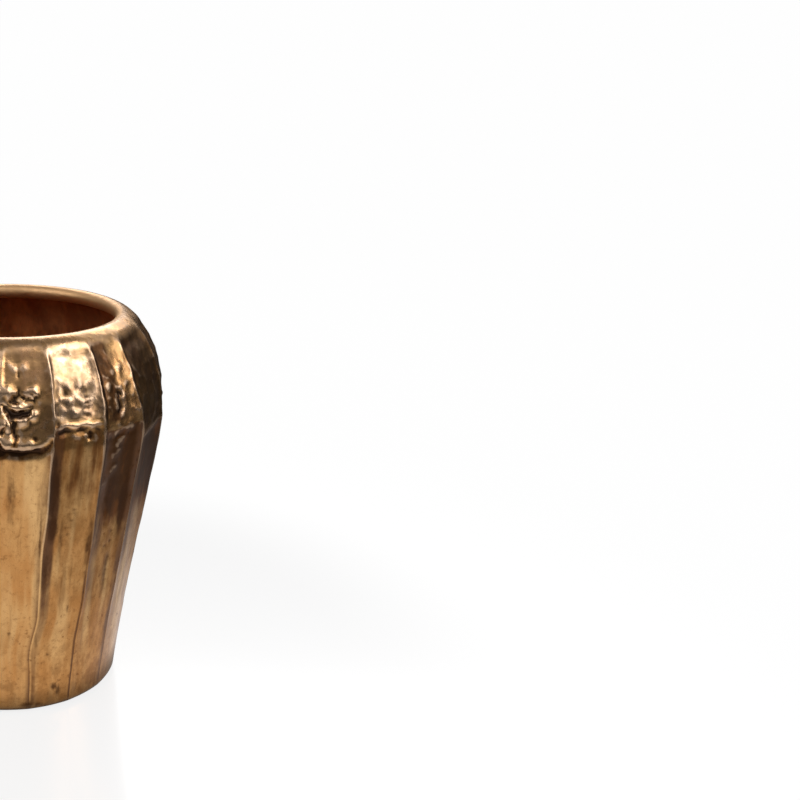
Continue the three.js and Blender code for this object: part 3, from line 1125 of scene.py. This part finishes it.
def gold_colour(here):
    """The rubbed metal, from red gold to pale, the pale partly a painted highlight, with painted
    highlight stripes and its finest streaks and grit.
    """
    warmth = ramp(noise(here.place, 24.0, 4.0), 0.35, 0.7)
    low_glow = ramp(here.height, 0.01, 0.07, 0.5, 0.0)
    blotch = ramp(streaks(here, 6.0, 60.0, 5.0, 0.65), 0.36, 0.64, 0.25, 1.4)
    deep = times(here.off_dome, scaled(here.ruddy, 0.8, 0.16), blotch)
    # Pale where the panels are rubbed, also a painted highlight
    pale_wear_and_sheen = times(here.rubbed, ramp(here.cloud, 0.3, 0.62, 0.35, 1.0))
    # Painted highlight: pale vertical stripes down the flutes, fainter near the foot
    highlight_stripes = ramp(streaks(here, 3.0, 8.0, 2.0, 0.4), 0.48, 0.66, 0.0, 0.65)
    highlight_stripes = times(highlight_stripes, here.off_dome, ramp(here.height, 0.03, 0.1, 0.35, 1.0))
    coats = [
        (warmth, RED_GOLD),
        (low_glow, RED_GOLD),
        (deep, ORANGE_BROWN),
        (pale_wear_and_sheen, RUBBED_AND_SHEEN),
        (highlight_stripes, PALE_GOLD_HIGHLIGHT),
        (ramp(here.fine_streak, 0.35, 0.8, 0.0, 0.1), BROWN),
        (ramp(here.grit, 0.52, 0.75, 0.0, 0.35), BROWN),
    ]
    return lay_coats(GOLD, coats)


def oxide_colour(here):
    """Browns below the ledges, darkest where the oxide and the painted shade are strongest, and olive on
    the dome.
    """
    charred = scaled(calc("SUBTRACT", here.char, 0.5), 3.0, here.toned)
    coats = [
        (ramp(here.char, 0.38, 0.62), RUST),
        (scaled(here.ruddy, 2.0, -0.9), RED_BROWN),
        (ramp(charred, 0.85, 1.6, 0.0, 0.95), DARK_BROWN),
        (here.on_dome, OLIVE),
    ]
    return lay_coats(BROWN, coats)


# The colour of the painted shade and painted reflection along the ridges: dark brown, mauve-grey where
# it is grey, with rust and darker patches
def ridge_shading_colour(here):
    patch = streaks(here, 11.0, 110.0, 5.0, 0.7)
    coats = [
        (here.grey, MAUVE_REFLECTION),
        (ramp(here.char, 0.42, 0.66, 0.0, 0.5), RUST),
        (ramp(patch, 0.5, 0.68, 0.0, 0.6), DARK_BROWN),
    ]
    return lay_coats(RIDGE_SHADE_BROWN, coats)


def inside_colour(here):
    cloud = ramp(streaks(here, 2.0, 22.0, 5.0, 0.6), 0.38, 0.66)
    # Fewer gold clouds towards the rim: painted shade under the rolled edge
    cloud = times(cloud, ramp(here.height, 0.245, 0.3, 1.0, 0.35))
    return mix_colour(cloud, INSIDE_BROWN, INSIDE_GOLD)


def wall_relief(here):
    """The finest marks of the hammer, the rubbing and the grit, as a height."""
    marks = use(HAMMERING, Vector=here.place, Size=0.0045, Uneven=0.9)
    relief = times(marks, ramp(here.height, 0.235, 0.25, 0.25, 1.0))
    grain = times(here.fine_streak, here.off_dome)
    fine = use(RUBBING, Vector=here.place, Length=14.0)
    for height, share in ((fine, 0.05), (grain, 0.25), (here.grit, 0.12)):
        relief = scaled(height, share, relief)
    return relief


def wall_brass():
    """Old brass that is rubbed bright on its crests, which also paints a highlight there, and brown in
    its hollows, with painted shade: near black in the deepest creases, the dents and under the chins,
    and dark along the ridges and at the panels' sides.
    """
    material, tree, output = new_material("hammered_brass")
    here = read_wall(tree)
    brown = brown_mask(here)
    # Painted shade at the panels' sides
    shaded_panels = panel_shading_mask(here)
    # Painted shade and painted reflection along the ridges
    ridge_shadings = ridge_shading_mask(here)
    # Stains, with painted shade in the dents, under the chins and along the foot
    stains_and_shading = stain_and_shade_mask(here)
    # Pale rubbed wear on the crests, which also paints a highlight along the ribs
    crest_wear_and_sheen = ramp(here.proud, 0.15, 0.7, 0.0, ramp(here.height, 0.1, 0.25, 0.1, 0.65))
    # Painted shade: near black in the deepest creases, and in the dents and under the chins where the
    # stains go over 0.95
    painted_black_shade = strongest(ramp(here.hollow, 0.45, 1.0), ramp(here.stain, 0.95, 1.3))
    coats = [
        (brown, oxide_colour(here)),
        (shaded_panels, DARK_BROWN),
        (ridge_shadings, ridge_shading_colour(here)),
        (stains_and_shading, DARK_BROWN),
        (crest_wear_and_sheen, RUBBED_AND_SHEEN),
        (times(painted_black_shade, 0.9), SHADE_BLACK),
        (here.inside, inside_colour(here)),
        (times(here.lip, 0.6), LIP_GOLD),
    ]
    colour = lay_coats(gold_colour(here), coats)
    rough = scaled(strongest(brown, ridge_shadings, stains_and_shading, shaded_panels), 0.16, 0.2)
    for mask, rougher in ((here.fine_streak, 0.1), (here.inside, 0.36), (here.lip, 0.2)):
        rough = scaled(mask, rougher, rough)
    relief = bump(wall_relief(here), 0.7, 0.0004)
    coat = times(here.on_dome, rest_of(here.inside), 0.15)
    surface(output, colour, rough, relief, coat=coat)
    return material


def dull_metal(name, clean, soiled, amount, size, length, roughness, rougher):
    """Unpolished metal, soiled in clouds and rougher there, with marks of rubbing of a given length."""
    material, tree, output = new_material(name)
    place = object_place(tree)
    soil = use(TARNISH, Vector=place, Amount=amount, Size=size)
    rough = scaled(soil, rougher, roughness)
    relief = bump(use(RUBBING, Vector=place, Length=length), 0.3, 0.0002)
    surface(output, mix_colour(soil, clean, soiled), rough, relief)
    return material


def pan_brass():
    return dull_metal("pan_brass", INSIDE_BROWN, BROWN, 0.7, 0.03, 1.0, 0.35, 0.2)


def steel():
    return dull_metal("steel_wire", WIRE_GREY, WIRE_BROWN, 0.4, 0.01, 6.0, 0.4, 0.3)


def felt():
    material, tree, output = new_material("felt")
    fibres = noise(object_place(tree), 900.0, 4.0, 0.7)
    colour = mix_colour(fibres, FELT_DARK, FELT_LIGHT)
    surface(output, colour, 0.95, bump(fibres, 0.8, 0.0005), metallic=0.0)
    return material


# Studio
FLOOR_RADIUS = 2.4
FLOOR_SIDES = 96
SWEEP_RADIUS = 0.7
SWEEP_STEP = 15
FLOOR_GLOW = 0.915
FAR_FLOOR_GLOW = 0.99
FLOOR_GLOW_IN_METAL = 1.0
FAR_GLOW_IN_METAL = 0.16
FLOOR_GREY = 0.4
NEAR_GREY_TO_CAMERA = 0.09
FAR_GREY_TO_CAMERA = 0.005
WHITE = (1, 1, 1, 1)

CAMERA_PLACE = (0, -1.0149, 0.5551)
CAMERA_TILT = 72.8
CAMERA_SENSOR = 36
CAMERA_LENS = 56.745
CAMERA_SHIFT = 0.4931

# Each softbox's azimuth and elevation in degrees, its distance and size, and how bright its face is
SOFTBOXES = {
    "right_softbox": (64, 44, 1.3, (0.75, 0.75), 4.0),
    "low_right_softbox": (64, 12.5, 1.3, (0.7, 0.5), 2.8),
    "front_softbox": (4, 62, 1.5, (0.9, 0.5), 0.95),
    "left_softbox": (-60, 40, 1.3, (0.7, 0.8), 2.5),
    "back_softbox": (170, 38, 1.6, (1.9, 0.8), 2.7),
}
SOFTBOXES_AIM = 0.25


def floor_glow(place, far, camera, reflected):
    """White to the camera; in the metal darker far out, darker under the pot as a painted shadow, and
    darker to the right and at the back as painted shade.
    """
    right = put("SeparateXYZ", {0: place}, 0)
    back = put("SeparateXYZ", {0: place}, 1)
    seen = times(camera, ramp(far, 0.35, 0.8, FLOOR_GLOW, FAR_FLOOR_GLOW))
    in_metal = times(
        reflected,
        ramp(far, 0.45, 0.98, FLOOR_GLOW_IN_METAL, FAR_GLOW_IN_METAL),
        # Painted shadow of the pot on the floor, seen only in the metal
        ramp(far, 0.098, 0.125, 0.3, 1.0),
        # Painted shade to the right and at the back, seen only in the metal
        ramp(right, 0.08, 0.34, 1.0, 0.45),
        ramp(back, 0.1, 0.32, 1.0, 0.35),
    )
    return put("Emission", {"Strength": calc("ADD", seen, in_metal)})


def floor_paint(far, camera, reflected):
    """Grey that takes the pot's shadow: fainter to the camera, and none in reflections."""
    to_camera = ramp(far, 0.35, 0.8, NEAR_GREY_TO_CAMERA, FAR_GREY_TO_CAMERA)
    grey = scaled(camera, calc("SUBTRACT", to_camera, FLOOR_GREY), FLOOR_GREY)
    grey = times(grey, rest_of(reflected))
    colour = put("CombineColor", {0: grey, 1: grey, 2: grey})
    return put("BsdfDiffuse", {"Color": colour})


def studio_white():
    """White to the camera, with the pot's shadow and faint reflection; dark far out in reflections."""
    material, tree, output = new_material("studio_floor")
    place = object_place(tree)
    far = put("VectorMath", {0: place}, "Value", operation="LENGTH")
    path = tree.nodes.new("ShaderNodeLightPath").outputs
    camera = path["Is Camera Ray"]
    reflected = strongest(path["Is Glossy Ray"], path["Is Transmission Ray"])
    glow = floor_glow(place, far, camera, reflected)
    paint = floor_paint(far, camera, reflected)
    gloss = put("BsdfGlossy", {"Roughness": 0.18, "Color": WHITE}, 0, tree)
    fresnel = put("Fresnel", {"IOR": 1.55}, 0, tree)
    topside = rest_of(put("NewGeometry", {}, "Backfacing", tree))
    near = times(fresnel, camera, topside, ramp(far, 0.3, 0.5, 1.0, 0.0))
    white = put("AddShader", {0: glow, 1: paint})
    both = put("MixShader", {0: near, 1: white, 2: gloss})
    feed(output.inputs["Surface"], both)
    return material


def make_floor():
    """A disc whose rim sweeps up all round."""
    bpy.ops.mesh.primitive_circle_add(vertices=FLOOR_SIDES, radius=FLOOR_RADIUS)
    floor = bpy.context.object
    floor.name = "studio_floor"
    edit(floor)
    for degrees in range(SWEEP_STEP, 91, SWEEP_STEP):
        before = math.radians(degrees - SWEEP_STEP)
        after = math.radians(degrees)
        rise = SWEEP_RADIUS * (math.cos(before) - math.cos(after))
        reach_before = FLOOR_RADIUS + SWEEP_RADIUS * math.sin(before)
        reach_after = FLOOR_RADIUS + SWEEP_RADIUS * math.sin(after)
        bpy.ops.mesh.extrude_region_move(TRANSFORM_OT_translate={"value": (0, 0, rise)})
        grow = reach_after / reach_before
        bpy.ops.transform.resize(value=(grow, grow, 1), center_override=(0, 0, 0))
    bpy.ops.mesh.primitive_circle_add(vertices=FLOOR_SIDES, radius=FLOOR_RADIUS, fill_type="NGON")
    bpy.ops.mesh.select_all(action="SELECT")
    bpy.ops.mesh.remove_doubles(threshold=0.001)
    bpy.ops.mesh.normals_make_consistent(inside=True)
    leave_edit()
    floor.data.materials.append(studio_white())
    make_active(floor)
    bpy.ops.object.shade_smooth()


def softbox(name, azimuth, elevation, distance, size, radiance):
    """A lamp at a direction from the pot, with a given brightness of its face."""
    lamp = bpy.data.lights.new(name, "AREA")
    lamp.shape = "RECTANGLE"
    lamp.size, lamp.size_y = size
    lamp.energy = radiance * math.pi * size[0] * size[1]
    box = bpy.data.objects.new(name, lamp)
    bpy.context.collection.objects.link(box)
    turn = math.radians(azimuth)
    lift = math.radians(elevation)
    box.location = (
        distance * math.cos(lift) * math.sin(turn),
        -distance * math.cos(lift) * math.cos(turn),
        SOFTBOXES_AIM + distance * math.sin(lift),
    )
    towards_pot = Vector((0, 0, SOFTBOXES_AIM)) - box.location
    box.rotation_euler = towards_pot.to_track_quat("-Z", "Y").to_euler()
    box.visible_camera = False


def make_camera():
    """The photograph's view: 17 degrees down from 1.16 m, with the pot cut by the left edge."""
    camera = bpy.data.objects.new("camera", bpy.data.cameras.new("camera"))
    bpy.context.collection.objects.link(camera)
    camera.location = CAMERA_PLACE
    camera.rotation_euler = (math.radians(CAMERA_TILT), 0, 0)
    camera.data.sensor_width = CAMERA_SENSOR
    camera.data.lens = CAMERA_LENS
    camera.data.shift_x = CAMERA_SHIFT
    bpy.context.scene.camera = camera


def make_world():
    """Soft grey all round that darkens overhead, and white where the camera sees it."""
    world = bpy.data.worlds.new("studio")
    world.use_nodes = True
    tree = world.node_tree
    background = tree.nodes["Background"].inputs
    background["Color"].default_value = WHITE
    lift = put("SeparateXYZ", {0: put("TexCoord", {}, "Generated", tree)}, 2)
    overhead = ramp(lift, 0.6, 0.95, 0.42, 0.2)
    strength = times(overhead, ramp(lift, 0.1, 0.36, 0.03, 1.0))
    seen = put("LightPath", {}, "Is Camera Ray", tree)
    feed(background["Strength"], calc("MAXIMUM", strength, seen))
    bpy.context.scene.world = world


def refinish(node, material):
    """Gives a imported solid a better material."""
    for slot in bpy.data.objects[node].material_slots:
        slot.material = material


make_camera()
make_world()
make_floor()
for name, settings in SOFTBOXES.items():
    softbox(name, *settings)

wall = make_wall()
wall.data.materials.clear()
wall.data.materials.append(wall_brass())
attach(wall, "root")
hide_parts("fluted_wall")

refinish("base_pan", pan_brass())
refinish("rim_wire", steel())
pad_felt = felt()
for number in range(1, 5):
    refinish(f"felt_pad_{number}", pad_felt)

bpy.context.scene.view_settings.view_transform = "Standard"
